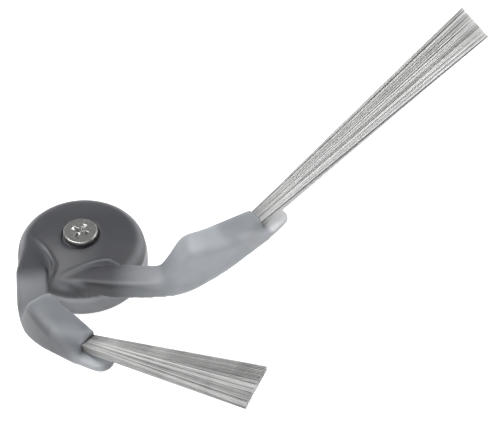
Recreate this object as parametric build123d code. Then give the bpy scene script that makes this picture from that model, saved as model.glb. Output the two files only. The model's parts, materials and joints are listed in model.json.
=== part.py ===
# Side brush of a robot vacuum, with its screw side up.
# A soft moulded hub with two curved arms, a stiff core inside it, one screw and two bristle tufts.
# The origin is on the drive axis, in the plane of the skirt's lower face.
# The first arm's neck runs along +X.
from build123d import *
from math import atan2, cos, degrees, radians, sin, tan
import os

# Hub: skirt and cap of the soft moulding
hub_diameter = 26.0
skirt_height = 4.2
skirt_wall = 2.4
skirt_bevel = 0.4
ledge_width = 0.8
cap_height = 3.2
cap_round = 3.3
rim_bands = 6
crown_rise = 2.4

# Core: stiff disc inside the hub, with the drive socket on its underside
cap_cover = 1.2
core_plate = 1.9
core_bevel = 1.6
seat_diameter = 8.0
seat_drop = 0.8
socket_width = 6.0
socket_corner = 1.2
socket_wall = 1.4
socket_web = 3.1
boss_recess = 0.6
rib_count = 6
rib_thickness = 1.2
rib_recess = 1.8
rib_clearance = 0.15

# Fixing screw
head_diameter = 6.8
head_height = 1.6
head_bevel = 0.2
shank_diameter = 3.0
shank_length = 7.9
shank_bevel = 0.5
bore_clearance = 0.15
recess_span = 3.7
recess_slot = 0.85
recess_depth = 1.1
recess_floor_span = 1.6
recess_floor_slot = 0.5
recess_turn = -21.0

# Arm in plan: it leaves the hub along a tangent of the skirt, then bends
arm_spacing = 77.0
arm_width = 6.0
neck_start = 8.0
neck_length = 15.0
bend_radius = 27.0
bend_angle = 50.0
pod_splay = 13.0
pod_inner_round = 18.0

# Arm from the side: runs are measured from the start of the bend, rises from the neck's underside
neck_lift = 2.0
neck_thickness = 3.8
foot_run = 2.2
foot_rise = 4.8
shoulder_run = 6.6
pod_rise = 13.7
knee_run = 7.5
knee_rise = 1.8
heel_run = 20.0
heel_rise = 8.6
tip_run = 31.0
tip_rise = 10.8
foot_round = 1.6
shoulder_round = 3.5
floor_round = 14.0
top_edge_bevel = 0.7

# Root of the arm: a section inside the cap, from which the neck climbs out
root_start = -4.0
root_lift = 1.8
root_thickness = 1.4
root_inset = 2.4
root_width = 1.6
root_bevel = 0.4

# Tongue: lip that goes on under the tuft, flush with the arm's outer wall
tongue_width = 4.0
tongue_thickness = 1.8
tongue_sweep = 9.0
tongue_bevel = 0.35

# Tufts: each filament bundle is welded to a plug at its root, which the arm is moulded around
tuft_splay = 15.4
tuft_rise = 34.2
tuft_length = 56.7
exit_drop = 2.3
exit_inset = 1.9
plug_depth = 6.0
exit_width = 3.2
exit_thickness = 1.5
tip_width = 7.3
tip_thickness = 1.8
tip_twist = 30.0
filament_diameter = 0.3
filament_margin = 0.1
filament_sides = 6
filament_rows = 5
filament_columns = 9
slot_relief = 3.0

# Radii, heights and places worked out from the sizes above
hub_radius = hub_diameter / 2
cap_radius = hub_radius - ledge_width
recess_radius = hub_radius - skirt_wall
rim_top = skirt_height + cap_height
crown_top = rim_top + crown_rise
core_radius = cap_radius - cap_cover
core_top = rim_top - cap_cover
core_floor = core_top - core_plate
seat_radius = seat_diameter / 2
seat_top = crown_top - seat_drop
socket_roof = seat_top - socket_web
boss_radius = (socket_width / 2 - socket_corner) * 2 ** 0.5 + socket_corner + socket_wall
arm_inner = hub_radius - arm_width
inner_bend = bend_radius - arm_width / 2
outer_bend = bend_radius + arm_width / 2
bend_center = (neck_length, outer_bend - hub_radius)
neck_floor = skirt_height + neck_lift
neck_top = neck_floor + neck_thickness
pod_top = neck_floor + pod_rise
knee = (neck_length + knee_run, neck_floor + knee_rise)
heel = (neck_length + heel_run, neck_floor + heel_rise)
far_tip = (neck_length + tip_run, neck_floor + tip_rise)
exit_height = pod_top - exit_drop


def on_bend(radius, turn):
    # Plan point on the bend, at a radius from its centre and so many degrees on from the neck
    return (bend_center[0] + radius * sin(radians(turn)), bend_center[1] - radius * cos(radians(turn)))


def edge_near(shape, point):
    return shape.edges().sort_by_distance(Vector(*point))[0]


def rounded_face(outline, rounds):
    # Rounds the corners of a flat face; rounds pairs each corner's place with a radius
    for place, radius in rounds:
        corner = outline.vertices().sort_by_distance(Vector(*place))[0]
        outline = fillet(corner, radius)
    return outline


def turned(points):
    # Solid of revolution about the drive axis, from an outline in radius and height
    return revolve(Plane.XZ * make_face(Polyline(*points, close=True)), Axis.Z)


def seen_from_side(points, rounds=()):
    # Outline of an arm seen from the side, carried across its whole width
    outline = rounded_face(make_face(Polyline(*points, close=True)), rounds)
    return extrude(Plane.XZ * outline, amount=2 * bend_radius, both=True)


def rounded_rim():
    # Outline of the cap's soft rim as narrow bands, from its wall up to its crown
    sweep = 90 - degrees(atan2(crown_rise, cap_radius - seat_radius))
    low = rim_top - cap_round * tan(radians(sweep / 2))
    turns = [radians(sweep * band / rim_bands) for band in range(rim_bands + 1)]
    return [(cap_radius - cap_round * (1 - cos(turn)), low + cap_round * sin(turn)) for turn in turns]


def make_hub():
    hub = turned([
        (0, 0), (hub_radius - skirt_bevel, 0), (hub_radius, skirt_bevel),
        (hub_radius, skirt_height - skirt_bevel), (hub_radius - skirt_bevel, skirt_height),
        (cap_radius, skirt_height), *rounded_rim(), (seat_radius, crown_top), (0, crown_top)])
    recess = Cylinder(recess_radius, core_floor, align=(Align.CENTER, Align.CENTER, Align.MIN))
    return hub - recess


def make_core_blank(top):
    # Outer form of the core above the recess, which the cap is moulded over, with its seat at a height
    return turned([
        (0, core_floor), (core_radius, core_floor), (core_radius, core_top - core_bevel),
        (core_radius - core_bevel, core_top), (seat_radius, crown_top - cap_cover), (seat_radius, top),
        (0, top)])


def make_core():
    upright = (Align.CENTER, Align.CENTER, Align.MIN)
    boss = Pos(0, 0, boss_recess) * Cylinder(boss_radius, core_floor - boss_recess, align=upright)
    rib = Pos(0, 0, rib_recess) * Box(
        recess_radius - rib_clearance, rib_thickness, core_floor - rib_recess,
        align=(Align.MIN, Align.CENTER, Align.MIN))
    ribs = [Rot(0, 0, 360 / rib_count * spoke) * rib for spoke in range(rib_count)]
    socket = extrude(RectangleRounded(socket_width, socket_width, socket_corner), amount=socket_roof)
    bore = Cylinder(shank_diameter / 2 + bore_clearance, seat_top, align=upright)
    return make_core_blank(seat_top) + boss + ribs - socket - bore


def make_screw():
    head_radius = head_diameter / 2
    shank_radius = shank_diameter / 2
    head_top = seat_top + head_height
    shank_end = seat_top - shank_length
    screw = turned([
        (0, shank_end), (shank_radius - shank_bevel, shank_end), (shank_radius, shank_end + shank_bevel),
        (shank_radius, seat_top), (head_radius, seat_top), (head_radius, head_top - head_bevel),
        (head_radius - head_bevel, head_top), (0, head_top)])
    mouth = Rectangle(recess_span, recess_slot) + Rectangle(recess_slot, recess_span)
    floor = Rectangle(recess_floor_span, recess_floor_slot) + Rectangle(recess_floor_slot, recess_floor_span)
    cross = loft([Pos(0, 0, head_top - recess_depth) * floor, Pos(0, 0, head_top) * mouth], ruled=True)
    return screw - Rot(0, 0, recess_turn) * cross


def make_pod():
    # Neck and pod: the plan carried upwards and cut to the side view, with bevelled upper edges
    outer_end = on_bend(outer_bend, bend_angle)
    inner_end = on_bend(inner_bend, bend_angle)
    pod_heading = radians(bend_angle - pod_splay)
    inner_corner = (inner_end[0] - (inner_end[1] + arm_inner) / tan(pod_heading), -arm_inner)
    plan = make_face([
        Line((neck_start, -hub_radius), (neck_length, -hub_radius)),
        CenterArc(bend_center, outer_bend, -90, bend_angle),
        Polyline(outer_end, inner_end, inner_corner, (neck_start, -arm_inner), (neck_start, -hub_radius))])
    plan = rounded_face(plan, [(inner_corner, pod_inner_round)])
    foot = (neck_length + foot_run, neck_floor + foot_rise)
    shoulder = (neck_length + shoulder_run, pod_top)
    side = seen_from_side(
        [(neck_start, neck_floor), knee, heel, far_tip, (far_tip[0], pod_top), shoulder, foot,
         (neck_start, neck_top)],
        [(knee, floor_round), (heel, floor_round), (shoulder, shoulder_round), (foot, foot_round)])
    pod = extrude(plan, amount=2 * pod_top) & side
    along = neck_start + foot_run
    rims = [edge_near(pod, (along, wall, neck_top)) for wall in (-arm_inner, -hub_radius)]
    return chamfer(rims, top_edge_bevel)


def make_tongue():
    inner = outer_bend - tongue_width
    first = bend_angle - tongue_sweep
    last = bend_angle + tongue_sweep
    end_x, end_y = on_bend(outer_bend - tongue_width / 2, last)
    tip = (end_x + tongue_width / 2 * cos(radians(last)), end_y + tongue_width / 2 * sin(radians(last)))
    plan = make_face([
        CenterArc(bend_center, outer_bend, first - 90, last - first),
        ThreePointArc(on_bend(outer_bend, last), tip, on_bend(inner, last)),
        CenterArc(bend_center, inner, first - 90, last - first),
        Line(on_bend(inner, first), on_bend(outer_bend, first))])
    slope = (far_tip[1] - heel[1]) / (far_tip[0] - heel[0])
    back_x = on_bend(inner, first)[0]
    back = (back_x, heel[1] - slope * (heel[0] - back_x))
    over = [(x, z + tongue_thickness) for x, z in (far_tip, back)]
    tongue = extrude(plan, amount=2 * pod_top) & seen_from_side([back, far_tip, *over])
    rim = on_bend(outer_bend, last - tongue_sweep / 2)
    return chamfer([edge_near(tongue, (*rim, height)) for height in (heel[1], pod_top)], tongue_bevel)


def make_root(neck_face):
    # Ramp from a small section inside the cap to the start of the neck
    outer = hub_radius - root_inset
    inner = outer - root_width
    low = skirt_height + root_lift
    high = low + root_thickness
    outline = Polyline(
        (-outer, low), (-outer, high - root_bevel), (root_bevel - outer, high),
        (-inner - root_bevel, high), (-inner, high - root_bevel), (-inner, low), close=True)
    section = Plane(origin=(root_start, 0, 0), x_dir=(0, 1, 0), z_dir=(1, 0, 0)) * make_face(outline)
    return loft([section.face(), neck_face], ruled=True)


def tuft_plane():
    # Plane at the tuft's exit: its normal is the tuft's axis, its X runs across the fan to the outer side
    heading = bend_angle - tuft_splay
    across = Vector(1, 0, 0).rotate(Axis.Z, heading - 90)
    axis = Vector(1, 0, 0).rotate(Axis.Y, -tuft_rise).rotate(Axis.Z, heading)
    place = (*on_bend(inner_bend + exit_inset, bend_angle), exit_height)
    return Plane(origin=place, x_dir=across, z_dir=axis)


def make_plug(relief=0):
    # Block of welded filament ends; with a relief past its face, the room that it takes in the arm
    section = tuft_plane() * Pos(0, 0, -plug_depth) * Rectangle(exit_width, exit_thickness)
    return extrude(section, amount=plug_depth + relief)


def make_arm():
    pod = make_pod()
    neck_face = pod.faces().sort_by(Axis.X)[0]
    return make_root(neck_face) + pod + make_tongue() - make_plug(slot_relief)


def make_tuft():
    # Staggered rows of straight filaments, packed at the exit, fanned out and twisted at the tip
    root = tuft_plane() * Pos(0, 0, -filament_diameter)
    tip = tuft_plane() * Pos(0, 0, tuft_length) * Rot(0, 0, tip_twist)
    half_width = (exit_width - filament_diameter) / 2 - filament_margin
    half_thickness = (exit_thickness - filament_diameter) / 2 - filament_margin
    section = RegularPolygon(filament_diameter / 2, filament_sides)
    filaments = []
    for row in range(filament_rows):
        up = 2 * row / (filament_rows - 1) - 1
        count = filament_columns - row % 2
        for column in range(count):
            side = (2 * column - count + 1) / (filament_columns - 1)
            start = (root * Pos(side * half_width, up * half_thickness)).position
            end = (tip * Pos(side * tip_width / 2, up * tip_thickness / 2)).position
            line = end - start
            filaments.append(extrude(Plane(origin=start, z_dir=line) * section, amount=line.length))
    return make_plug() + filaments


second_arm = Rot(0, 0, -arm_spacing)
arm = make_arm()
tuft = make_tuft()
nodes = {
    "brush_body": make_hub() + arm + second_arm * arm - make_core_blank(crown_top),
    "hub_core": make_core(),
    "fixing_screw": make_screw(),
    "bristle_tuft_1": tuft,
    "bristle_tuft_2": second_arm * tuft,
}
os.makedirs("parts", exist_ok=True)
for name, shape in nodes.items():
    export_step(shape, "parts/" + name + ".step")
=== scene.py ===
import bpy
import bmesh
import json
import math
import random
import numpy as np
from mathutils import Matrix, Vector
from mathutils.bvhtree import BVHTree

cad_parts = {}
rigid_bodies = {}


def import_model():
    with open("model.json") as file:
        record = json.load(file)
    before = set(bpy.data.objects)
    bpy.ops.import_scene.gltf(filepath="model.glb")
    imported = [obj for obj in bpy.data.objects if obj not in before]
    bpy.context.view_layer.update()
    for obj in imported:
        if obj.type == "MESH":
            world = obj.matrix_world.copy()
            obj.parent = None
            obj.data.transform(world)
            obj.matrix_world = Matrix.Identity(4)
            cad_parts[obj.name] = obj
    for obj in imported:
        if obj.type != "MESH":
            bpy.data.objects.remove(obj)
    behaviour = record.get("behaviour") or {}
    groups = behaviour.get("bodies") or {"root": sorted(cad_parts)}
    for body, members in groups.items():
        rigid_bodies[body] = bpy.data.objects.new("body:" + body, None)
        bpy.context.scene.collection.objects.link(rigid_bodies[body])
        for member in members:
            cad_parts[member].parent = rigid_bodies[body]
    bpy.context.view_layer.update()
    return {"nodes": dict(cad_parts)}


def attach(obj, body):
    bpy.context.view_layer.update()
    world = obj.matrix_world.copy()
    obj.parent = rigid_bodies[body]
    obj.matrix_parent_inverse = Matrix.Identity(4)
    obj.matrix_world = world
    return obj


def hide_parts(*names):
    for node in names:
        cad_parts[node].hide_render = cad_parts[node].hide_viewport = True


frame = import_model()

mm = 0.001
samePoint = 0.001 * mm  # points nearer than this are one
sceneItems = bpy.context.scene.collection


# small helpers

def inMm(*sizes):
    return tuple(size * mm for size in sizes)


def hexColor(code):  # sRGB hex to linear
    parts = [int(code[i:i + 2], 16) / 255 for i in (1, 3, 5)]
    return tuple(c / 12.92 if c <= 0.04045 else ((c + 0.055) / 1.055) ** 2.4 for c in parts) + (1,)


def addNode(tree, kind, values=None, links=None, stops=None, **settings):
    node = tree.nodes.new(kind)
    for name, value in settings.items():
        setattr(node, name, value)
    for name, value in (values or {}).items():
        node.inputs[name].default_value = value
    for name, source in (links or {}).items():
        tree.links.new(source, node.inputs[name])
    if stops:  # places and colours along a ramp
        ramp = node.color_ramp.elements
        while len(ramp) < len(stops):
            ramp.new(0.5)
        for stop, (place, code) in zip(ramp, stops):
            stop.position = place
            stop.color = hexColor(code)
    return node


def newMaterial(name):
    material = bpy.data.materials.new(name)
    material.use_nodes = True
    material.node_tree.nodes.clear()
    return material, material.node_tree


def addPiece(name, mesh, material, node):
    piece = bpy.data.objects.new(name, mesh)
    sceneItems.objects.link(piece)
    mesh.materials.clear()
    mesh.materials.append(material)
    mesh.shade_smooth()
    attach(piece, "root")
    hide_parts(node)
    return piece


def storeValues(mesh, name, values):
    layer = mesh.attributes.new(name, "FLOAT", "POINT")
    layer.data.foreach_set("value", np.asarray(values, np.float32))


def clamped(value, low, high):
    return max(low, min(high, value))


def soften(values, span):  # smooth step from 0 at the span's start to 1 at its end
    low, high = span
    t = np.clip((values - low) / (high - low), 0, 1)
    return t * t * (3 - 2 * t)


# camera, placed by the hub and both arms of the photograph

view = dict(
    place=(0.0655, -0.2584, 0.2949), tilt=43.18, turn=7.0, lens=141.5, sensor=36.0,
    clip=(0.01, 20))  # nearest and farthest, in metres
cameraData = bpy.data.cameras.new("photoCamera")
cameraData.lens = view["lens"]
cameraData.sensor_width = view["sensor"]
cameraData.sensor_fit = "HORIZONTAL"
cameraData.clip_start, cameraData.clip_end = view["clip"]
camera = bpy.data.objects.new("photoCamera", cameraData)
camera.location = view["place"]
camera.rotation_euler = (math.radians(view["tilt"]), 0, math.radians(view["turn"]))
sceneItems.objects.link(camera)
bpy.context.scene.camera = camera
print("camera placed")


# plan of the arms, and where the tufts leave them, as in the part's source

plan = dict(spins=(0.0, 77.0), bendCenter=inMm(15, 17), innerBend=24 * mm, outerBend=30 * mm)
tuft = dict(
    exitRadius=25.9 * mm, exitTurn=50.0, exitHeight=17.6 * mm, splay=15.4, rise=34.2, length=56.7 * mm,
    plugDepth=6.0 * mm, exitWidth=3.2 * mm, exitThickness=1.5 * mm,
    tipWidth=7.3 * mm, tipThickness=1.8 * mm, twist=30.0,
    trim=(0.0, -1.2))  # slant of each tuft's cut end, across its thickness


def tuftFrame(number):  # matrix at the exit: X across the fan, Y down, Z along the tuft
    turn = math.radians(tuft["exitTurn"])
    heading = math.radians(tuft["exitTurn"] - tuft["splay"])
    rise = math.radians(tuft["rise"])
    place = Vector((
        plan["bendCenter"][0] + tuft["exitRadius"] * math.sin(turn),
        plan["bendCenter"][1] - tuft["exitRadius"] * math.cos(turn), tuft["exitHeight"]))
    axis = Vector((math.cos(rise) * math.cos(heading), math.cos(rise) * math.sin(heading), math.sin(rise)))
    across = Vector((math.sin(heading), -math.cos(heading), 0))
    down = axis.cross(across)
    matrix = Matrix((across, down, axis)).transposed().to_4x4()
    matrix.translation = place
    return Matrix.Rotation(math.radians(-plan["spins"][number]), 4, "Z") @ matrix


# soft body: the solid's form with moulded, rounded edges
# a pair of sizes is where a change starts and ends, and a Facing is a pair of upward shares of the normal

body = dict(
    voxel=0.27 * mm, step=0.5,  # the skin's grid, and how far a pass pulls a point to its neighbours' middle
    calmPasses=14, calmBack=-0.52,  # takes out the grid's steps
    roundPasses=10, wellPasses=24, cornerPasses=110, rootPasses=70, lastPasses=4,
    fillOver=0.1 * mm, mouthDepth=0.9 * mm,  # of the tufts' pockets
    lip=inMm(1.9, 1.1, 1.6), lipFade=0.8 * mm, lipCrisp=0.9,  # round each tuft's exit
    roundFacing=(-0.1, 0.3))
hub = dict(
    capRadius=12.2 * mm, seatRadius=4.0 * mm, rimTop=7.4 * mm, crownRise=2.4 * mm,
    wellShrink=0.42 * mm, wellReach=inMm(4.2, 6.0), wellHeight=inMm(8.3, 8.5),
    wellEdge=inMm(4.8, 5.8), wellEdgeHeight=inMm(8.4, 8.7),  # what is rounded at the well
    bulge=0.55 * mm, bulgeStart=9.6 * mm, bulgeEnd=inMm(12.4, 12.9),
    bulgeLow=inMm(4.25, 4.6), bulgeHigh=inMm(7.6, 8.4),
    armReach=inMm(12.6, 14.5), capHeight=inMm(5.2, 6.4), capShare=0.5)  # the arms are rounded more than the cap
arm = dict(
    begin=8 * mm, inside=3 * mm, outside=1 * mm,  # its band in plan: from here on, and so far past its two walls
    under=((8.0, 6.2), (22.5, 8.0), (35.0, 14.8), (46.0, 17.0)),  # mm, the underside's height along the arm
    starts=inMm(-0.5, 1.2),  # the first shoulder comes a little sooner, the second one later
    skew=0.45, skewStart=inMm(-3, 0), skewEnd=inMm(9, 19), skewHeight=inMm(1.5, 3.5),
    slopeTurn=(37, 52), slopeRing=inMm(26.4, 29.8),  # degrees round the bend, and distance from its centre
    tongue=1.8 * mm, tongueWiden=0.32, tongueTurn=(49, 52), tongueSkin=inMm(0.4, 0.9),
    cornerRing=inMm(25.2, 27.5), cornerStart=inMm(13, 17), cornerHeight=inMm(1.6, 3),
    shoulderRound=(0.22, 0.12), shoulderStart=inMm(2, 4), shoulderEnd=inMm(9, 13), shoulderHeight=inMm(11, 13),
    rootFloor=6 * mm, rootFacing=(0.1, 0.4),  # the roots' upper faces
    ridge=((-2.4, -10.0, 0.1), (1.2, -7.9, 0.2), (3.0, -6.9, 0.28), (4.8, -6.2, 0.6), (6.5, -5.6, 0.8),
           (8.3, -5.9, 0.5), (10.8, -7.3, 0.15)),  # mm, the root edge in plan and its height
    ridgeWidth=0.42 * mm, ridgeShare=(1.2, 0.9),  # a share for each arm
    valleyCalm=(0.5, 1.0), valleyInner=inMm(4.6, 6.4), valleyOuter=inMm(9.4, 11), valleyStart=inMm(-5.5, -3.5),
    valleyEnd=inMm(6.5, 9), valleyFacing=(0.0, 0.2))


def fillPockets(work):  # the bristles are moulded in, so each pocket is shut but for its mouth
    low, high = -tuft["plugDepth"] - body["fillOver"], -body["mouthDepth"]
    width, thickness = tuft["exitWidth"] + body["fillOver"], tuft["exitThickness"] + body["fillOver"]
    middle = Matrix.Translation((0, 0, (low + high) / 2))
    size = Matrix.Diagonal((width, thickness, high - low, 1))
    for number in (0, 1):
        bmesh.ops.create_cube(work, size=1, matrix=tuftFrame(number) @ middle @ size)


def remeshed(source, filled=False):  # even grid of quads over a closed mesh
    work = bmesh.new()
    work.from_mesh(source)
    bmesh.ops.remove_doubles(work, verts=work.verts, dist=samePoint)
    if filled:
        fillPockets(work)
    mesh = bpy.data.meshes.new("work")
    work.to_mesh(mesh)
    work.free()
    holder = bpy.data.objects.new("work", mesh)
    sceneItems.objects.link(holder)
    grid = holder.modifiers.new("grid", "REMESH")
    grid.mode = "VOXEL"
    grid.voxel_size = body["voxel"]
    result = bpy.data.meshes.new_from_object(holder.evaluated_get(bpy.context.evaluated_depsgraph_get()))
    bpy.data.objects.remove(holder)
    bpy.data.meshes.remove(mesh)
    return result


def readRows(items, name, width, kind):
    rows = np.empty(len(items) * width, kind)
    items.foreach_get(name, rows)
    return rows.reshape(-1, width)


def readPoints(mesh):
    return readRows(mesh.vertices, "co", 3, np.float32).astype(float)


def readNormals(mesh):
    return readRows(mesh.vertices, "normal", 3, np.float32).astype(float)


def setPoints(mesh, points):
    mesh.vertices.foreach_set("co", points.astype(np.float32).ravel())
    mesh.update()


def relax(values, edges, passes, weight=None, step=body["step"]):  # averages each point's value with its neighbours'
    count = np.bincount(edges.ravel(), minlength=len(values)).astype(float)
    flat = values if values.ndim == 2 else values[:, None]
    for _ in range(passes):
        mean = np.zeros_like(flat)
        np.add.at(mean, edges[:, 0], flat[edges[:, 1]])
        np.add.at(mean, edges[:, 1], flat[edges[:, 0]])
        move = step * (mean / count[:, None] - flat)
        flat = flat + (move if weight is None else move * weight[:, None])
    return flat if values.ndim == 2 else flat[:, 0]


def hubReach(points):  # distance from the drive axis
    return np.hypot(points[:, 0], points[:, 1])


def turned(points, degrees):  # points turned about the drive axis
    turn = math.radians(degrees)
    spin = np.array([[math.cos(turn), -math.sin(turn), 0], [math.sin(turn), math.cos(turn), 0], [0, 0, 1]])
    return points @ spin.T


def inTuft(points, number):  # points in a tuft's own frame
    local = np.array(tuftFrame(number).inverted())
    return points @ local[:3, :3].T + local[:3, 3]


def armPlan(points, spin):  # in one arm's frame: place, distance from the bend's centre, turn round it, if on the arm
    local = turned(points, spin)
    run, drop = local[:, 0] - plan["bendCenter"][0], plan["bendCenter"][1] - local[:, 1]
    ring = np.where(run > 0, np.hypot(run, drop), drop)
    turn = np.where(run > 0, np.arctan2(run, drop), 0)
    onBand = (ring < plan["outerBend"] + arm["outside"]) & (ring > plan["innerBend"] - arm["inside"])
    return local, ring, turn, onBand & (local[:, 0] > arm["begin"])


def aboveUnder(local):  # height over the arm's underside
    return local[:, 2] - np.interp(local[:, 0] / mm, *zip(*arm["under"])) * mm


def skewShoulder(points, spin, start):  # the slope from neck to pod runs across the arm at an angle
    local, ring, turn, onArm = armPlan(points, spin)
    run = local[:, 0] - plan["bendCenter"][0]
    along = np.where(run > 0, plan["innerBend"] * turn, run)
    near = soften(along, arm["skewStart"]) * (1 - soften(along, arm["skewEnd"]))
    near = near * soften(aboveUnder(local), arm["skewHeight"])
    shift = (start + arm["skew"] * np.clip(ring - plan["innerBend"], 0, None)) * near * onArm
    bent = turn + shift / np.maximum(ring, mm)
    local[:, 0] = np.where(run > 0, plan["bendCenter"][0] + ring * np.sin(bent), local[:, 0] + shift)
    local[:, 1] = np.where(run > 0, plan["bendCenter"][1] - ring * np.cos(bent), local[:, 1])
    return turned(local, -spin)


def slopeEnd(points, spin):  # beside the tuft, the pod's outer end runs down into the tongue
    local, ring, turn, onArm = armPlan(points, spin)
    over = np.maximum(aboveUnder(local) - arm["tongue"], 0)
    local[:, 2] -= over * (soften(np.degrees(turn), arm["slopeTurn"]) * soften(ring, arm["slopeRing"]) * onArm)
    return turned(local, -spin)


def widenTongue(points, spin):  # the tongue reaches in under the tuft
    local, ring, turn, onArm = armPlan(points, spin)
    skin = [arm["tongue"] + depth for depth in arm["tongueSkin"]]
    share = soften(np.degrees(turn), arm["tongueTurn"]) * onArm * (1 - soften(aboveUnder(local), skin))
    wide = ring - arm["tongueWiden"] * np.clip(plan["outerBend"] - ring, 0, None) * share
    run = local[:, 0] - plan["bendCenter"][0]
    local[:, 0] = np.where(run > 0, plan["bendCenter"][0] + wide * np.sin(turn), local[:, 0])
    local[:, 1] = np.where(run > 0, plan["bendCenter"][1] - wide * np.cos(turn), local[:, 1])
    return turned(local, -spin)


def tightenWell(points):  # the screw well closes in on the head
    radius = hubReach(points)
    shrink = hub["wellShrink"] * (1 - soften(radius, hub["wellReach"])) * soften(points[:, 2], hub["wellHeight"])
    tightened = points.copy()
    tightened[:, :2] *= (1 - shrink / np.maximum(radius, mm))[:, None]
    return tightened


def widenCap(points):  # the cap's wall bulges out, almost to the skirt's edge
    radius, height = hubReach(points), points[:, 2]
    wall = soften(radius, (hub["bulgeStart"], hub["capRadius"])) * (1 - soften(radius, hub["bulgeEnd"]))
    bulge = hub["bulge"] * wall * soften(height, hub["bulgeLow"]) * (1 - soften(height, hub["bulgeHigh"]))
    widened = points.copy()
    widened[:, :2] *= (1 + bulge / np.maximum(radius, mm))[:, None]
    return widened


def exitLip(points):  # share of the thin lip round each tuft, which stays crisp
    best = np.zeros(len(points))
    for number in (0, 1):
        away = np.maximum(np.abs(inTuft(points, number)) - np.array(body["lip"]), 0)
        best = np.maximum(best, 1 - soften(np.linalg.norm(away, axis=1), (0, body["lipFade"])))
    return best


def ridgeField(points):  # in an arm's plan: distance to the root edge, and the height that the edge has there
    best, height = np.full(len(points), np.inf), np.zeros(len(points))
    for start, end in zip(arm["ridge"], arm["ridge"][1:]):
        a, b = np.array(start[:2]) * mm, np.array(end[:2]) * mm
        t = np.clip((points[:, :2] - a) @ (b - a) / ((b - a) @ (b - a)), 0, 1)
        gap = np.linalg.norm(points[:, :2] - a - t[:, None] * (b - a), axis=1)
        height = np.where(gap < best, (start[2] + (end[2] - start[2]) * t) * mm, height)
        best = np.minimum(best, gap)
    return best, height


def rootTop(points, normals):  # share of the upper faces of cap and arms
    return soften(normals[:, 2], arm["rootFacing"]) * (points[:, 2] > arm["rootFloor"])


def raiseRidge(points, normals, spin, share):  # raised edge where the arm's root comes out of the cap
    gap, height = ridgeField(turned(points, spin))
    raised = points.copy()
    raised[:, 2] += share * height * np.exp(-(gap / arm["ridgeWidth"]) ** 2) * rootTop(points, normals)
    return raised


def rootValley(points, normals):  # share of the hollow beside the arms' roots, where they rise from the cap
    best = np.zeros(len(points))
    for spin, calm in zip(plan["spins"], arm["valleyCalm"]):
        x, y, z = turned(points, spin).T
        across = soften(-y, arm["valleyInner"]) * (1 - soften(-y, arm["valleyOuter"]))
        along = soften(x, arm["valleyStart"]) * (1 - soften(x, arm["valleyEnd"]))
        best = np.maximum(best, calm * across * along * (z > arm["rootFloor"]))
    return best * soften(normals[:, 2], arm["valleyFacing"])


def outerCorner(points, normals):  # share of the pods' outer upper corners
    best = np.zeros(len(points))
    for spin, bluntness in zip(plan["spins"], arm["shoulderRound"]):
        local, ring, turn, onArm = armPlan(points, spin)
        corner = soften(ring, arm["cornerRing"]) * soften(local[:, 0], arm["cornerStart"])
        corner = corner * soften(aboveUnder(local), arm["cornerHeight"])
        along = plan["innerBend"] * turn
        shoulder = bluntness * soften(along, arm["shoulderStart"]) * (1 - soften(along, arm["shoulderEnd"]))
        shoulder = shoulder * soften(local[:, 2], arm["shoulderHeight"])
        best = np.maximum(best, np.maximum(corner, shoulder) * onArm)
    return best * soften(normals[:, 2], body["roundFacing"])


firstMesh = remeshed(frame["nodes"]["brush_body"].data, filled=True)
bodyPoints = readPoints(firstMesh)
for spin, start in zip(plan["spins"], arm["starts"]):
    bodyPoints = skewShoulder(bodyPoints, spin, start)
    bodyPoints = slopeEnd(bodyPoints, spin)
    bodyPoints = widenTongue(bodyPoints, spin)
setPoints(firstMesh, tightenWell(widenCap(bodyPoints)))
bodyMesh = remeshed(firstMesh)
bpy.data.meshes.remove(firstMesh)
bodyPoints = readPoints(bodyMesh)
bodyEdges = readRows(bodyMesh.edges, "vertices", 2, np.int32)
for _ in range(body["calmPasses"]):  # forth and back, so that the form doesn't shrink
    bodyPoints = relax(bodyPoints, bodyEdges, 1)
    bodyPoints = relax(bodyPoints, bodyEdges, 1, step=body["calmBack"])
setPoints(bodyMesh, bodyPoints)
normals = readNormals(bodyMesh)
reach, height = hubReach(bodyPoints), bodyPoints[:, 2]
armShare = np.maximum(soften(reach, hub["armReach"]), hub["capShare"] * soften(height, hub["capHeight"]))
well = (1 - soften(reach, hub["wellEdge"])) * soften(height, hub["wellEdgeHeight"])
blunt = 1 - body["lipCrisp"] * exitLip(bodyPoints)
roundShare = armShare * soften(normals[:, 2], body["roundFacing"]) * blunt
bodyPoints = relax(bodyPoints, bodyEdges, body["roundPasses"], roundShare)
bodyPoints = relax(bodyPoints, bodyEdges, body["wellPasses"], well)
bodyPoints = relax(bodyPoints, bodyEdges, body["cornerPasses"], outerCorner(bodyPoints, normals) * blunt)
bodyPoints = relax(bodyPoints, bodyEdges, body["rootPasses"], rootValley(bodyPoints, normals))
for spin, share in zip(plan["spins"], arm["ridgeShare"]):
    bodyPoints = raiseRidge(bodyPoints, normals, spin, share)
bodyPoints = relax(bodyPoints, bodyEdges, body["lastPasses"], armShare * blunt)
setPoints(bodyMesh, bodyPoints)
normals = readNormals(bodyMesh)
print("soft body:", len(bodyMesh.vertices), "points")


# what shows through the soft skin, as shares that its material reads

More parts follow.
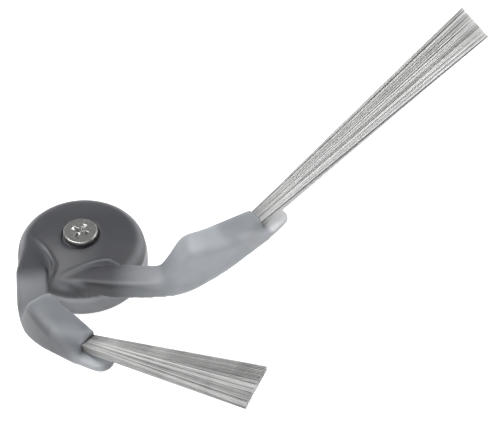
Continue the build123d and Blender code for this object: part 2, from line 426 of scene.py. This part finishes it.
paint = dict(
    coreCrown=inMm(0.3, 1.3), coreFloor=inMm(4.3, 4.8), corePasses=6, capEdge=13 * mm,
    # painted highlight on the cap's round rim
    rimLight=0.38, rimReach=inMm(10.6, 12.0), rimFacing=(0.3, 0.65),
    rootInner=inMm(4.5, 6.5), rootOuter=inMm(13.6, 14.4), rootStart=inMm(-4.5, -2), rootReach=inMm(12.8, 13),
    rootFades=((0.42, inMm(7.5, 13.5)), (0.58, inMm(12, 25))),  # the dark dies away along the necks in two steps
    # the skirt painted darker
    skirtShade=0.58, skirtTop=inMm(3.6, 4.2), skirtBand=inMm(12, 13.4),
    # painted highlight on the ledge: how much lighter, how far it spreads, and where
    ledgeLight=0.6, ledgePasses=1, ledgeReach=inMm(12.3, 12.6), ledgeEdge=13.1 * mm, ledgeLow=inMm(3.6, 4.0),
    ledgeHigh=inMm(4.3, 4.6),
    # the painted highlight on sharp bends of the skin
    edgeBend=0.035 * mm, edgeFrom=0.3, bendPasses=3, edgePasses=2,
    plug=dict(low=-4.8 * mm, high=0.3 * mm, middle=1.2 * mm, half=2.2 * mm, fade=1.8 * mm),  # along and across a tuft
    # patch: a painted light spot beside each tuft's hidden end
    patch=dict(low=-3.2 * mm, high=1.5 * mm, middle=4.4 * mm, half=0.5 * mm, fade=1.2 * mm),
    # painted shade on the second arm's pod: how much its upward faces are spared, where it starts, how much it dims
    # the painted light there, and how its tongue is spared
    secondTop=0.36, secondFacing=(0.2, 0.9), secondStart=inMm(12, 18), secondHides=0.8, secondPasses=8,
    secondTongue=0.7, secondTongueStart=(46, 52), secondTongueEnd=(60, 63),  # degrees round the bend
    # the painted highlight along the root edges
    rootEdgeHighlight=(0.3, 0.75), creaseWidth=inMm(0.45, 0.2), creaseEnd=inMm(20, 6), creaseFade=inMm(3, 1),
    creaseHeight=inMm(0.1, 0.3),
    # the painted light on the first arm's tongue
    tongueTurn=(50, 53), tongueOver=1 * mm, tongueFacing=(0.3, 0.9), tonguePasses=3,
    wall=inMm(1.2, 7), wallPasses=12, rayStart=0.05 * mm)


def coreNearness(points, normals):  # 1 over the dark disc in the hub that shows through the skin, less on the cap's round rim, where a painted highlight lies on its upward faces, dying away along the arms' roots; the skirt is painted darker too
    radius, height = hubReach(points), points[:, 2]
    slope = np.clip((hub["capRadius"] - radius) / (hub["capRadius"] - hub["seatRadius"]), 0, 1)
    above = soften(height - hub["rimTop"] - hub["crownRise"] * slope, paint["coreCrown"])
    rim = soften(radius, paint["rimReach"]) * soften(normals[:, 2], paint["rimFacing"])
    cap = (1 - paint["rimLight"] * rim) * (radius < paint["capEdge"])
    root = np.zeros(len(points))
    for spin in plan["spins"]:
        x, y, _ = turned(points, spin).T
        band = soften(-y, paint["rootInner"]) * (1 - soften(-y, paint["rootOuter"])) * soften(x, paint["rootStart"])
        left = 1.0
        for share, span in paint["rootFades"]:
            left = left - share * soften(x, span)
        root = np.maximum(root, band * left)
    outside = np.maximum(above, soften(radius, paint["rootReach"]))
    inner, outer = paint["skirtBand"]
    skirt = paint["skirtShade"] * (1 - soften(height, paint["skirtTop"])) * (radius > inner) * (radius < outer)
    return np.maximum((cap + (root - cap) * outside) * soften(height, paint["coreFloor"]), skirt)


def plugNearness(points, low, high, middle, half, fade):  # 1 where a tuft's hidden end lies under the skin
    best = np.zeros(len(points))
    for number in (0, 1):
        placed = inTuft(points, number)
        across, along = np.abs(placed[:, 0] - middle) - half, np.maximum(low - placed[:, 2], placed[:, 2] - high)
        away = np.linalg.norm(np.maximum(np.stack([across, along], 1), 0), axis=1)
        best = np.maximum(best, 1 - soften(away, (0, fade)))
    return best


def ledgeHighlightShare(points):  # painted highlight on the ledge between the cap's wall and the skirt
    radius, height = hubReach(points), points[:, 2]
    ledgeHighlight = soften(radius, paint["ledgeReach"]) * (radius < paint["ledgeEdge"])
    return ledgeHighlight * soften(height, paint["ledgeLow"]) * (1 - soften(height, paint["ledgeHigh"]))


def secondPodShade(points, normals):  # painted shade on the second arm's pod, most on its walls and least on its tongue
    local, _, turn, onArm = armPlan(points, plan["spins"][1])
    degrees = np.degrees(turn)
    wall = 1 - paint["secondTop"] * soften(normals[:, 2], paint["secondFacing"])
    tongue = paint["secondTongue"] * soften(degrees, paint["secondTongueStart"])
    tip = paint["secondTongue"] * soften(degrees, paint["secondTongueEnd"])
    return wall * soften(local[:, 0], paint["secondStart"]) * (1 - tongue + tip) * onArm


def rootEdgeHighlight(points, normals):  # painted highlight: a thin light line along the root edges
    total = np.zeros(len(points))
    before, after = paint["creaseFade"]
    for spin, share, width, end in zip(
            plan["spins"], paint["rootEdgeHighlight"], paint["creaseWidth"], paint["creaseEnd"]):
        local = turned(points, spin)
        gap, height = ridgeField(local)
        left = soften(height, paint["creaseHeight"]) * (1 - soften(local[:, 0], (end - before, end + after)))
        total += share * np.exp(-(gap / width) ** 2) * left * rootTop(points, normals)
    return total


def firstTongueGlow(points, normals):  # painted light: the first arm's tongue, painted bright where the light falls through
    local, _, turn, onArm = armPlan(points, plan["spins"][0])
    low = aboveUnder(local) < arm["tongue"] + paint["tongueOver"]
    return onArm * soften(np.degrees(turn), paint["tongueTurn"]) * low * soften(normals[:, 2], paint["tongueFacing"])


def wallDepth(mesh):  # how far it is to the opposite wall, for the painted light that comes through thin walls
    tree = BVHTree.FromPolygons([v.co for v in mesh.vertices], [p.vertices for p in mesh.polygons])
    deepest = paint["wall"][1]
    depths = np.empty(len(mesh.vertices))
    for i, vertex in enumerate(mesh.vertices):
        inward = -vertex.normal
        hit = tree.ray_cast(vertex.co + inward * paint["rayStart"], inward)
        depths[i] = hit[3] if hit[0] is not None else deepest
    return np.minimum(depths, deepest)


ledgeHighlight = ledgeHighlightShare(bodyPoints)
core = relax(coreNearness(bodyPoints, normals), bodyEdges, paint["corePasses"])
# painted shade on the second arm's pod, which also dims the painted light spots and highlights there
second = relax(secondPodShade(bodyPoints, normals), bodyEdges, paint["secondPasses"])
beside = 1 - paint["secondHides"] * second
# painted highlight: the skin is painted lighter where it bends sharply, kept off the tufts' lips and dimmed on the
# second pod; the ledge gets it too
bend = np.abs(((relax(bodyPoints, bodyEdges, paint["bendPasses"]) - bodyPoints) * normals).sum(1))
edge = relax(np.clip(bend / paint["edgeBend"] - paint["edgeFrom"], 0, 1), bodyEdges, paint["edgePasses"])
# the core's dark shows through the skin, with a painted highlight on the ledge
storeValues(bodyMesh, "coreShade", core * (1 - paint["ledgeLight"] * relax(ledgeHighlight, bodyEdges, paint["ledgePasses"])))
storeValues(bodyMesh, "secondShade", second)
storeValues(bodyMesh, "plugShade", plugNearness(bodyPoints, **paint["plug"]))
# painted light: a lighter spot beside each tuft's hidden end, dimmed on the second pod
storeValues(bodyMesh, "patchShade", plugNearness(bodyPoints, **paint["patch"]) * beside)
storeValues(bodyMesh, "edgeShade", np.maximum(edge * (1 - exitLip(bodyPoints)) * beside, ledgeHighlight))
storeValues(bodyMesh, "creaseShade", rootEdgeHighlight(bodyPoints, normals))
storeValues(bodyMesh, "tongueShade", relax(firstTongueGlow(bodyPoints, normals), bodyEdges, paint["tonguePasses"]))
# painted light: thin walls are painted lighter, as the light coming through them would make them
depth = relax(wallDepth(bodyMesh), bodyEdges, paint["wallPasses"])
storeValues(bodyMesh, "thinWallGlow", 1 - soften(depth, paint["wall"]))
print("soft body painted")


# TPU, injection moulded and frosted: a satin skin, and light that goes some way in, so thin edges glow and the core
# shows as a dark round; thin walls, edges and spots are also painted lighter, and the second pod is painted darker
tpu = dict(
    # thick is the skin's colour where its walls are thick; light is the lighter colour painted where they are thin, as
    # light through them
    light="#C3C6CA", thick="#B4B8BD",
    layers=(  # painted over each other in this order, each with its colour and how much of it
        # the second arm's layer is painted shade; the edge, patch and tongue layers and the thin line on the root
        # edges are painted light; the plug and core layers are what shows through the skin, and the core layer also
        # carries painted light on the cap's rim and ledge and the skirt's painted dark
        ("second", "#46494F", 0.88), ("edge", "#C4C6C9", 0.6), ("plug", "#84888E", 0.6), ("patch", "#BDBFC3", 0.6),
        ("tongue", "#F0F1F2", 0.95), ("core", "#46474C", 1.0), ("crease", "#B0B2B6", 0.75)),
    roughness=(0.44, 0.54), ior=1.45, scatter=0.85, reach=3.0 * mm, through=0.4, absorb="#B4B8BC", density=110.0,
    backed=0.8,  # share of the scatter that is lost over the core
    grain=0.25, grainDepth=0.02 * mm, grainStrength=0.08,  # grain in mm, the mould's frosting, coarsened to show
    mottle=4.0, mottleTones=((0.3, "#F0F0F0"), (0.7, "#FFFFFF")))  # mottle in mm, cloudy spots in the melt
tpuMaterial, tree = newMaterial("TPU, moulded and frosted")
place = addNode(tree, "ShaderNodeTexCoord")
thinWallGlow = addNode(tree, "ShaderNodeAttribute", attribute_name="thinWallGlow")
skin = addNode(
    tree, "ShaderNodeMix", {"A": hexColor(tpu["thick"]), "B": hexColor(tpu["light"])},
    {"Factor": thinWallGlow.outputs["Fac"]}, data_type="RGBA")
layers = {}
for layer, color, share in tpu["layers"]:
    layers[layer] = addNode(tree, "ShaderNodeAttribute", attribute_name=layer + "Shade")
    amount = addNode(tree, "ShaderNodeMath", {1: share}, {0: layers[layer].outputs["Fac"]}, operation="MULTIPLY")
    skin = addNode(
        tree, "ShaderNodeMix", {"B": hexColor(color)}, {"Factor": amount.outputs[0], "A": skin.outputs["Result"]},
        data_type="RGBA")
cloud = addNode(
    tree, "ShaderNodeTexNoise", {"Scale": 1 / (tpu["mottle"] * mm), "Detail": 3.0},
    {"Vector": place.outputs["Object"]})
cloudTone = addNode(tree, "ShaderNodeValToRGB", links={"Fac": cloud.outputs["Fac"]}, stops=tpu["mottleTones"])
skin = addNode(
    tree, "ShaderNodeMix", {"Factor": 1.0}, {"A": skin.outputs["Result"], "B": cloudTone.outputs["Color"]},
    data_type="RGBA", blend_type="MULTIPLY")
grain = addNode(
    tree, "ShaderNodeTexNoise", {"Scale": 1 / (tpu["grain"] * mm), "Detail": 2.0},
    {"Vector": place.outputs["Object"]})
satin = addNode(
    tree, "ShaderNodeMapRange", {"To Min": tpu["roughness"][0], "To Max": tpu["roughness"][1]},
    {"Value": cloud.outputs["Fac"]})
bump = addNode(
    tree, "ShaderNodeBump", {"Strength": tpu["grainStrength"], "Distance": tpu["grainDepth"]},
    {"Height": grain.outputs["Fac"]})
scatter = addNode(  # over the core the light doesn't get far
    tree, "ShaderNodeMath", {1: -tpu["backed"] * tpu["scatter"], 2: tpu["scatter"]},
    {0: layers["core"].outputs["Fac"]}, operation="MULTIPLY_ADD")
shader = addNode(
    tree, "ShaderNodeBsdfPrincipled",
    {"IOR": tpu["ior"], "Subsurface Radius": (1.0, 1.0, 1.0), "Subsurface Scale": tpu["reach"],
     "Transmission Weight": tpu["through"]},
    {"Base Color": skin.outputs["Result"], "Subsurface Weight": scatter.outputs[0],
     "Roughness": satin.outputs["Result"], "Normal": bump.outputs["Normal"]})
inside = addNode(
    tree, "ShaderNodeVolumeAbsorption", {"Color": hexColor(tpu["absorb"]), "Density": tpu["density"]})
addNode(tree, "ShaderNodeOutputMaterial", links={"Surface": shader.outputs[0], "Volume": inside.outputs[0]})
addPiece("soft_body", bodyMesh, tpuMaterial, "brush_body")


# bristles: fine nylon filaments, packed at the exit and fanned out at the tip

bristles = dict(
    columns=32, rows=10, diameter=0.17 * mm, sides=6, rings=7, taper=0.8, seed=31,
    inset=0.5 * mm, proud=0.018 * mm,  # how deep they start, and how far the outer ones stand past the plug's edge
    sideJitter=0.25, upJitter=0.08, tipFill=(0.85, 1), bow=0.05 * mm, ragged=0.12 * mm,
    # dim bundles are painted shade between the clumps
    bundles=18, bundlePull=0.12, dimBundles=0.25, bundleTones=((0.6, 1), (0.3, 0.6)),  # bright and dim bundles
    loose=4, looseSide=(0.8, 1), looseUp=0.5, looseSpread=0.09, looseShare=(0.3, 1),
    tone=(-0.03, -0.27), toneJitter=0.2, dimmest=0.2,  # the second tuft is a shade darker
    # a few strands painted dark, as shade deep in the bundle
    darkShare=0.05, darkest=(0, 0.12),
    blockGap=0.2 * mm, blockCut=0.25 * mm, blockTone=0.5)


def filamentPath(frameAt, start, end, bow):
    points = []
    for k in range(bristles["rings"] + 1):
        t = k / bristles["rings"]
        curve = 4 * t * (1 - t)
        flat = Vector([a + (b - a) * t + c * curve for a, b, c in zip(start, end, (*bow, 0))])
        points.append(frameAt @ flat)
    return points


def addWalls(faces, base, sides, rings):  # closed tube over rings of points
    for k in range(rings - 1):
        near, far = base + k * sides, base + (k + 1) * sides
        for s in range(sides):
            t = (s + 1) % sides
            faces.append((near + s, near + t, far + t, far + s))
    faces.append([base + s for s in reversed(range(sides))])
    faces.append([base + (rings - 1) * sides + s for s in range(sides)])


def addFilament(verts, faces, path):
    base, sides = len(verts), bristles["sides"]
    axis = (path[-1] - path[0]).normalized()
    side = axis.orthogonal().normalized()
    other = axis.cross(side)
    for point in path:
        radius = bristles["diameter"] / 2 * (bristles["taper"] if point is path[-1] else 1)
        for s in range(sides):
            turn = 2 * math.pi * s / sides
            verts.append(point + (side * math.cos(turn) + other * math.sin(turn)) * radius)
    addWalls(faces, base, sides, len(path))


def addBlock(verts, faces, at):  # welded ends of the bristles, inside the arm
    base, gap, cut = len(verts), bristles["blockGap"], bristles["blockCut"]
    x, y = tuft["exitWidth"] / 2 - gap, tuft["exitThickness"] / 2 - gap
    rim = [(x - cut, -y), (x, cut - y), (x, y - cut), (x - cut, y),
           (cut - x, y), (-x, y - cut), (-x, cut - y), (cut - x, -y)]
    for z in (gap - tuft["plugDepth"], -gap):
        verts.extend(at @ Vector((a, b, z)) for a, b in rim)
    addWalls(faces, base, len(rim), 2)


def bristlePlaces(dice):  # side and up in the exit from -1 to 1, and how far the tip stands off
    places = []
    for row in range(bristles["rows"]):
        for column in range(bristles["columns"]):
            step = column + 0.5 * (row % 2) + dice.uniform(-bristles["sideJitter"], bristles["sideJitter"])
            side = 2 * step / (bristles["columns"] - 0.5) - 1
            up = 2 * row / (bristles["rows"] - 1) - 1 + dice.uniform(-bristles["upJitter"], bristles["upJitter"])
            places.append((clamped(side, -1, 1), clamped(up, -1, 1), 0))
    for _ in range(bristles["loose"]):  # a few strands stand off at the fan's outer edge
        side, up = dice.uniform(*bristles["looseSide"]), dice.uniform(-bristles["looseUp"], bristles["looseUp"])
        places.append((side, up, bristles["looseSpread"] * dice.uniform(*bristles["looseShare"])))
    return places


def makeTuft(number):
    dice = random.Random(bristles["seed"] + number)
    at = tuftFrame(number)
    twist = math.radians(tuft["twist"])
    verts, faces = [], []
    addBlock(verts, faces, at)
    shades = [bristles["blockTone"]] * len(verts)
    edges = [-1.0] + sorted(dice.uniform(-1, 1) for _ in range(bristles["bundles"] - 1)) + [1.0]
    bundles = []
    for a, b in zip(edges, edges[1:]):
        dim = dice.random() <= bristles["dimBundles"]
        bundles.append(((a + b) / 2, dice.uniform(*bristles["bundleTones"][dim])))
    halfWidth, halfThickness = (tuft[name] / 2 + bristles["proud"] for name in ("exitWidth", "exitThickness"))
    for side, up, spread in bristlePlaces(dice):
        middle, tone = min(bundles, key=lambda bundle: abs(bundle[0] - side))
        far = side + (middle - side) * bristles["bundlePull"] + spread
        x, y = far * tuft["tipWidth"] / 2, up * tuft["tipThickness"] / 2 * dice.uniform(*bristles["tipFill"])
        start = (side * halfWidth, up * halfThickness, -bristles["inset"])
        end = (x * math.cos(twist) - y * math.sin(twist), x * math.sin(twist) + y * math.cos(twist),
               tuft["length"] + y * tuft["trim"][number] - dice.random() ** 2 * bristles["ragged"])
        bow = (dice.gauss(0, bristles["bow"]), dice.gauss(0, bristles["bow"]))
        addFilament(verts, faces, filamentPath(at, start, end, bow))
        tone += bristles["tone"][number] + dice.uniform(-bristles["toneJitter"], bristles["toneJitter"])
        tone = clamped(tone, bristles["dimmest"], 1)
        # painted shade: a few strands are dark
        if dice.random() < bristles["darkShare"]:
            tone = dice.uniform(*bristles["darkest"])
        shades += [tone] * (len(verts) - len(shades))
    mesh = bpy.data.meshes.new("bristles_%d" % (number + 1))
    mesh.from_pydata(verts, [], faces)
    storeValues(mesh, "shade", shades)
    return mesh


# nylon, drawn into filament: pale and a little glassy; the bundles differ in tone at random, and the dim bundles and
# dark strands are painted shade, as between the bundles
nylon = dict(
    tones=((0, "#484848"), (0.25, "#949493"), (0.6, "#BEBEBD"), (1, "#D6D6D5")), roughness=0.35, ior=1.53,
    scatter=0.6, reach=0.4 * mm, streak=6.0, drift=0.3)  # streak in mm, the length over which a strand changes
nylonMaterial, tree = newMaterial("Nylon, drawn filament")
place = addNode(tree, "ShaderNodeTexCoord")
shade = addNode(tree, "ShaderNodeAttribute", attribute_name="shade")
streak = addNode(
    tree, "ShaderNodeTexNoise", {"Scale": 1 / (nylon["streak"] * mm), "Detail": 2.0},
    {"Vector": place.outputs["Object"]})
drift = addNode(
    tree, "ShaderNodeMath", {1: nylon["drift"], 2: -nylon["drift"] / 2}, {0: streak.outputs["Fac"]},
    operation="MULTIPLY_ADD")
mixed = addNode(tree, "ShaderNodeMath", links={0: shade.outputs["Fac"], 1: drift.outputs[0]}, operation="ADD")
strand = addNode(tree, "ShaderNodeValToRGB", links={"Fac": mixed.outputs[0]}, stops=nylon["tones"])
shader = addNode(
    tree, "ShaderNodeBsdfPrincipled",
    {"Roughness": nylon["roughness"], "IOR": nylon["ior"], "Subsurface Weight": nylon["scatter"],
     "Subsurface Radius": (1.0, 1.0, 1.0), "Subsurface Scale": nylon["reach"]},
    {"Base Color": strand.outputs["Color"]})
addNode(tree, "ShaderNodeOutputMaterial", links={"Surface": shader.outputs[0]})
for number in (0, 1):
    addPiece(
        "bristles_%d" % (number + 1), makeTuft(number), nylonMaterial, "bristle_tuft_%d" % (number + 1))
print("bristles fanned out")


# screw: the solid's head with broken edges, and a shank with its thread cut

screw = dict(
    collar=8.6 * mm, overlap=0.1 * mm, threadTop=8.0 * mm, end=1.1 * mm, point=0.5 * mm,
    root=1.18 * mm, crest=1.5 * mm, pitch=0.5 * mm, around=40, perTurn=10,
    flank=1.5, flatRoot=0.2,  # the thread's slope, and how wide its root is
    edge=0.06 * mm, flatAngle=1, edgeAngle=25, smoothAngle=40)  # degrees


def addHead(work, source):
    work.from_mesh(source)
    bmesh.ops.remove_doubles(work, verts=work.verts, dist=samePoint)
    bmesh.ops.bisect_plane(
        work, geom=work.verts[:] + work.edges[:] + work.faces[:],
        plane_co=(0, 0, screw["collar"]), plane_no=(0, 0, 1), clear_inner=True)
    bmesh.ops.edgeloop_fill(work, edges=[e for e in work.edges if e.is_boundary])
    bmesh.ops.dissolve_limit(
        work, angle_limit=math.radians(screw["flatAngle"]), verts=work.verts[:], edges=work.edges[:])
    limit = math.radians(screw["edgeAngle"])
    sharp = [e for e in work.edges if len(e.link_faces) == 2 and e.calc_face_angle() > limit]
    bmesh.ops.bevel(
        work, geom=sharp, offset=screw["edge"], segments=2, profile=0.5, affect="EDGES", clamp_overlap=True)


def threadRadius(z, share):
    phase = ((z - screw["end"]) / screw["pitch"] - share) % 1
    ridge = clamped(screw["flank"] * (1 - abs(2 * phase - 1)) - screw["flatRoot"], 0, 1)
    if z > screw["threadTop"]:
        ridge = 1
    radius = screw["root"] + (screw["crest"] - screw["root"]) * ridge
    return min(radius, screw["crest"] - screw["point"] + z - screw["end"])


def addThread(work):
    rows = round((screw["collar"] + screw["overlap"] - screw["end"]) / screw["pitch"] * screw["perTurn"])
    rings = []
    for k in range(rows + 1):
        z = screw["end"] + k * screw["pitch"] / screw["perTurn"]
        ring = []
        for s in range(screw["around"]):
            share = s / screw["around"]
            radius, turn = threadRadius(z, share), share * 2 * math.pi
            ring.append(work.verts.new((radius * math.cos(turn), radius * math.sin(turn), z)))
        rings.append(ring)
    for low, high in zip(rings, rings[1:]):
        for s in range(screw["around"]):
            t = (s + 1) % screw["around"]
            work.faces.new((low[s], low[t], high[t], high[s]))
    work.faces.new(list(reversed(rings[0])))
    work.faces.new(rings[-1])


# steel, nickel plated: a grey mirror dulled a little by fine turning rings and handling
nickel = dict(
    color="#A6A6A4", roughness=(0.2, 0.34), ring=1.3823, ringDepth=0.01 * mm, ringStrength=0.1, ringWaver=0.6,
    wear=0.8)  # ring and wear in mm; the rings are far coarser than real ones, to show
waveLength = 2 * math.pi / 20  # of Blender's wave at scale 1
nickelMaterial, tree = newMaterial("Steel, nickel plated")
place = addNode(tree, "ShaderNodeTexCoord")
rings = addNode(
    tree, "ShaderNodeTexWave",
    {"Scale": waveLength / (nickel["ring"] * mm), "Distortion": nickel["ringWaver"], "Detail": 2.0},
    {"Vector": place.outputs["Object"]}, wave_type="RINGS", rings_direction="Z")
wear = addNode(
    tree, "ShaderNodeTexNoise", {"Scale": 1 / (nickel["wear"] * mm), "Detail": 4.0},
    {"Vector": place.outputs["Object"]})
dulled = addNode(
    tree, "ShaderNodeMapRange", {"To Min": nickel["roughness"][0], "To Max": nickel["roughness"][1]},
    {"Value": wear.outputs["Fac"]})
bump = addNode(
    tree, "ShaderNodeBump", {"Strength": nickel["ringStrength"], "Distance": nickel["ringDepth"]},
    {"Height": rings.outputs["Fac"]})
shader = addNode(
    tree, "ShaderNodeBsdfPrincipled", {"Base Color": hexColor(nickel["color"]), "Metallic": 1.0},
    {"Roughness": dulled.outputs["Result"], "Normal": bump.outputs["Normal"]})
addNode(tree, "ShaderNodeOutputMaterial", links={"Surface": shader.outputs[0]})
work = bmesh.new()
addHead(work, frame["nodes"]["fixing_screw"].data)
addThread(work)
screwMesh = bpy.data.meshes.new("plated_screw")
work.to_mesh(screwMesh)
work.free()
screwPiece = addPiece("plated_screw", screwMesh, nickelMaterial, "fixing_screw")
screwMesh.set_sharp_from_angle(angle=math.radians(screw["smoothAngle"]))
weighted = screwPiece.modifiers.new("flatFaces", "WEIGHTED_NORMAL")
weighted.keep_sharp = True
print("screw turned")


# core: the solid itself, with its edges broken
# ABS, moulded: dark and satin, with the mould's fine spark texture
coreFinish = dict(
    tones=((0.3, "#333336"), (0.7, "#3E3E42")), roughness=(0.42, 0.55), ior=1.54,
    grain=0.3, grainDepth=0.02 * mm, grainStrength=0.15,  # grain in mm, coarsened to show
    edge=0.15 * mm, edgeAngle=35)  # degrees
absMaterial, tree = newMaterial("ABS, moulded")
place = addNode(tree, "ShaderNodeTexCoord")
grain = addNode(
    tree, "ShaderNodeTexNoise", {"Scale": 1 / (coreFinish["grain"] * mm), "Detail": 3.0},
    {"Vector": place.outputs["Object"]})
tone = addNode(tree, "ShaderNodeValToRGB", links={"Fac": grain.outputs["Fac"]}, stops=coreFinish["tones"])
satin = addNode(
    tree, "ShaderNodeMapRange", {"To Min": coreFinish["roughness"][0], "To Max": coreFinish["roughness"][1]},
    {"Value": grain.outputs["Fac"]})
bump = addNode(
    tree, "ShaderNodeBump", {"Strength": coreFinish["grainStrength"], "Distance": coreFinish["grainDepth"]},
    {"Height": grain.outputs["Fac"]})
shader = addNode(
    tree, "ShaderNodeBsdfPrincipled", {"IOR": coreFinish["ior"]},
    {"Base Color": tone.outputs["Color"], "Roughness": satin.outputs["Result"], "Normal": bump.outputs["Normal"]})
addNode(tree, "ShaderNodeOutputMaterial", links={"Surface": shader.outputs[0]})
hubCore = frame["nodes"]["hub_core"]
hubCore.data.materials.clear()
hubCore.data.materials.append(absMaterial)
weld = hubCore.modifiers.new("joined", "WELD")
weld.merge_threshold = samePoint
broken = hubCore.modifiers.new("brokenEdges", "BEVEL")
broken.limit_method = "ANGLE"
broken.angle_limit = math.radians(coreFinish["edgeAngle"])
broken.width = coreFinish["edge"]
broken.segments = 2
print("core finished")


# floor and light: a pale sheet in a soft white tent

studio = dict(
    floor=3.0, floorDrop=0.02 * mm, paper="#B4B4B4", paperRoughness=0.9, glow=0.88,
    tent="#FFFFFF", tentStrength=0.3, aim=(0.03, -0.02, 0.01),
    lamps=(  # place, width and height in metres, watts
        ("keyLamp", (-0.25, 0.02, 0.62), (0.45, 0.45), 5.5),
        ("sideLamp", (0.45, 0.30, 0.45), (0.4, 0.4), 2.0),
        ("frontLamp", (0.25, -0.70, 0.5), (0.8, 0.6), 1.2)))
floorMesh = bpy.data.meshes.new("floor")
half = studio["floor"] / 2
floorMesh.from_pydata([(-half, -half, 0), (half, -half, 0), (half, half, 0), (-half, half, 0)], [], [(0, 1, 2, 3)])
floorObject = bpy.data.objects.new("floor", floorMesh)
floorObject.location.z = -studio["floorDrop"]
sceneItems.objects.link(floorObject)
# paper, matt white: it glows a little, as a sheet lit from below does
paperMaterial, tree = newMaterial("Paper, matt white")
shader = addNode(
    tree, "ShaderNodeBsdfPrincipled",
    {"Base Color": hexColor(studio["paper"]), "Roughness": studio["paperRoughness"],
     "Emission Color": hexColor(studio["tent"]), "Emission Strength": studio["glow"]})
addNode(tree, "ShaderNodeOutputMaterial", links={"Surface": shader.outputs[0]})
floorMesh.materials.append(paperMaterial)

tent = bpy.data.worlds.new("tent")
bpy.context.scene.world = tent
tent.use_nodes = True
tent.node_tree.nodes.clear()
backdrop = addNode(
    tent.node_tree, "ShaderNodeBackground", {"Color": hexColor(studio["tent"]), "Strength": studio["tentStrength"]})
addNode(tent.node_tree, "ShaderNodeOutputWorld", links={"Surface": backdrop.outputs[0]})

for name, spot, size, power in studio["lamps"]:
    lampData = bpy.data.lights.new(name, "AREA")
    lampData.shape = "RECTANGLE"
    lampData.size, lampData.size_y = size
    lampData.energy = power
    lamp = bpy.data.objects.new(name, lampData)
    lamp.location = spot
    lamp.rotation_euler = (Vector(studio["aim"]) - Vector(spot)).to_track_quat("-Z", "Y").to_euler()
    lamp.visible_camera = False
    sceneItems.objects.link(lamp)

bpy.context.scene.view_settings.view_transform = "Standard"
bpy.context.scene.view_settings.look = "None"
print("studio lit")
